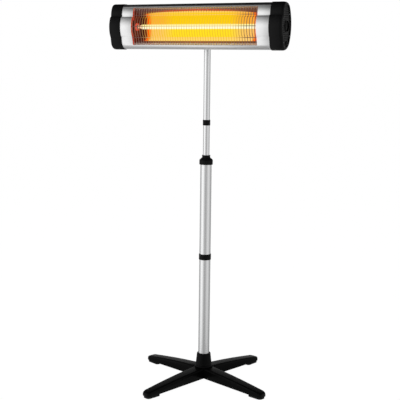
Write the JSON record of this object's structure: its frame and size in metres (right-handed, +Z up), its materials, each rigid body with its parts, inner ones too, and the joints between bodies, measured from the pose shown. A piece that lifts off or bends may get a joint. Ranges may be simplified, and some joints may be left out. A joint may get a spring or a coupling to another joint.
{
  "type": "outdoor heater",
  "caption": "Free-standing infrared patio heater: horizontal lamp head with wire grille and black end caps, telescopic pole, cross-shaped base.",
  "frame": {"origin": "on the floor, under the middle of the pole", "axes": "+Z up along the pole, X along the heater head, the head shines towards -Y at rest"},
  "size_m": [0.61, 0.524, 1.2739],
  "materials": {
    "black_plastic": "fine moulded satin black",
    "foot_rubber": "matt black rubber",
    "satin_aluminium": "brushed satin",
    "brushed_tube": "satin brushed steel tube",
    "black_paint": "satin black powder coat",
    "reflector_gold": "polished, lit by the lamp",
    "heat_shield_metal": "mill finish sheet",
    "zinc": "zinc plated",
    "grille_chrome": "bright plated wire",
    "quartz": "clear quartz",
    "element_glow": "carbon element, glowing",
    "ceramic_white": "unglazed steatite",
    "ring_ceramic": "steatite lit red by the lamp",
    "seal_grey": "silicone",
    "guide_nylon": "nylon",
    "switch_plastic": "moulded",
    "knob_black": "fine textured",
    "wire_insulation": "silicone sleeve"
  },
  "bodies": {
    "stand": {"hub": "black_plastic", "leg_front_left": "black_plastic", "leg_front_right": "black_plastic", "leg_rear_left": "black_plastic", "leg_rear_right": "black_plastic", "foot_front_left": "foot_rubber", "foot_front_right": "foot_rubber", "foot_rear_left": "foot_rubber", "foot_rear_right": "foot_rubber", "leg_screws": "zinc", "hub_bolt": "zinc", "hub_plug": "zinc", "lower_outer_tube": "brushed_tube", "pole_coupler": "black_plastic", "upper_outer_tube": "brushed_tube", "tube_top_insert": "guide_nylon"},
    "collar": {"lock_collar": "black_plastic"},
    "swivel": {"swivel_collet": "guide_nylon"},
    "mast": {"mast_guide": "guide_nylon", "lower_inner_tube": "brushed_tube", "mast_coupler": "black_plastic", "upper_inner_tube": "brushed_tube", "pole_head": "black_plastic", "pole_head_screw": "zinc"},
    "head": {"yoke_bracket": "black_paint", "yoke_spacers": "zinc", "yoke_screws": "zinc", "yoke_nuts": "zinc", "tilt_bolt": "zinc", "tilt_washers": "zinc", "front_fascia": "satin_aluminium", "rear_cover": "black_paint", "rear_cover_screws": "zinc", "heat_shield": "heat_shield_metal", "reflector": "reflector_gold", "reflector_end_left": "reflector_gold", "reflector_end_right": "reflector_gold", "lamp_tube": "quartz", "lamp_element": "element_glow", "lamp_end_ceramics": "ceramic_white", "lamp_rings": "ring_ceramic", "lamp_clips": "zinc", "grille_wires": "grille_chrome", "grille_rails": "grille_chrome", "window_frame": "black_paint", "end_cap_left": "black_plastic", "end_cap_right": "black_plastic", "vent_plate_left": "black_plastic", "vent_plate_right": "black_plastic", "end_seals": "seal_grey", "cap_screws": "zinc", "rotary_switch": "switch_plastic", "terminal_block": "ceramic_white", "tip_over_switch": "switch_plastic", "thermal_cutout": "ceramic_white", "cable_gland": "black_plastic", "lamp_leads": "wire_insulation"},
    "tilt_knob": {"star_knob": "black_plastic"},
    "control": {"control_knob": "knob_black"}
  },
  "joints": [
    {"name": "collar_twist", "type": "hinge", "parent": "stand", "child": "collar", "pos_m": [0, 0, 0.76], "axis": [0, 0, 1], "range_deg": [0, 90]},
    {"name": "mast_swivel", "type": "hinge", "parent": "stand", "child": "swivel", "pos_m": [0, 0, 0.75], "axis": [0, 0, 1], "range_deg": [-180, 180]},
    {"name": "mast_height", "type": "slide", "parent": "swivel", "child": "mast", "axis": [0, 0, 1], "range_m": [-0.095, 0.14]},
    {"name": "head_tilt", "type": "hinge", "parent": "mast", "child": "head", "pos_m": [0, 0, 1.165], "axis": [1, 0, 0], "range_deg": [-30, 35]},
    {"name": "tilt_knob_turn", "type": "hinge", "parent": "head", "child": "tilt_knob", "pos_m": [0.035, 0, 1.165], "axis": [1, 0, 0], "range_deg": [0, 360]},
    {"name": "control_turn", "type": "hinge", "parent": "head", "child": "control", "pos_m": [0.295, -0.071, 1.2], "axis": [1, 0, 0], "range_deg": [0, 180]}
  ]
}
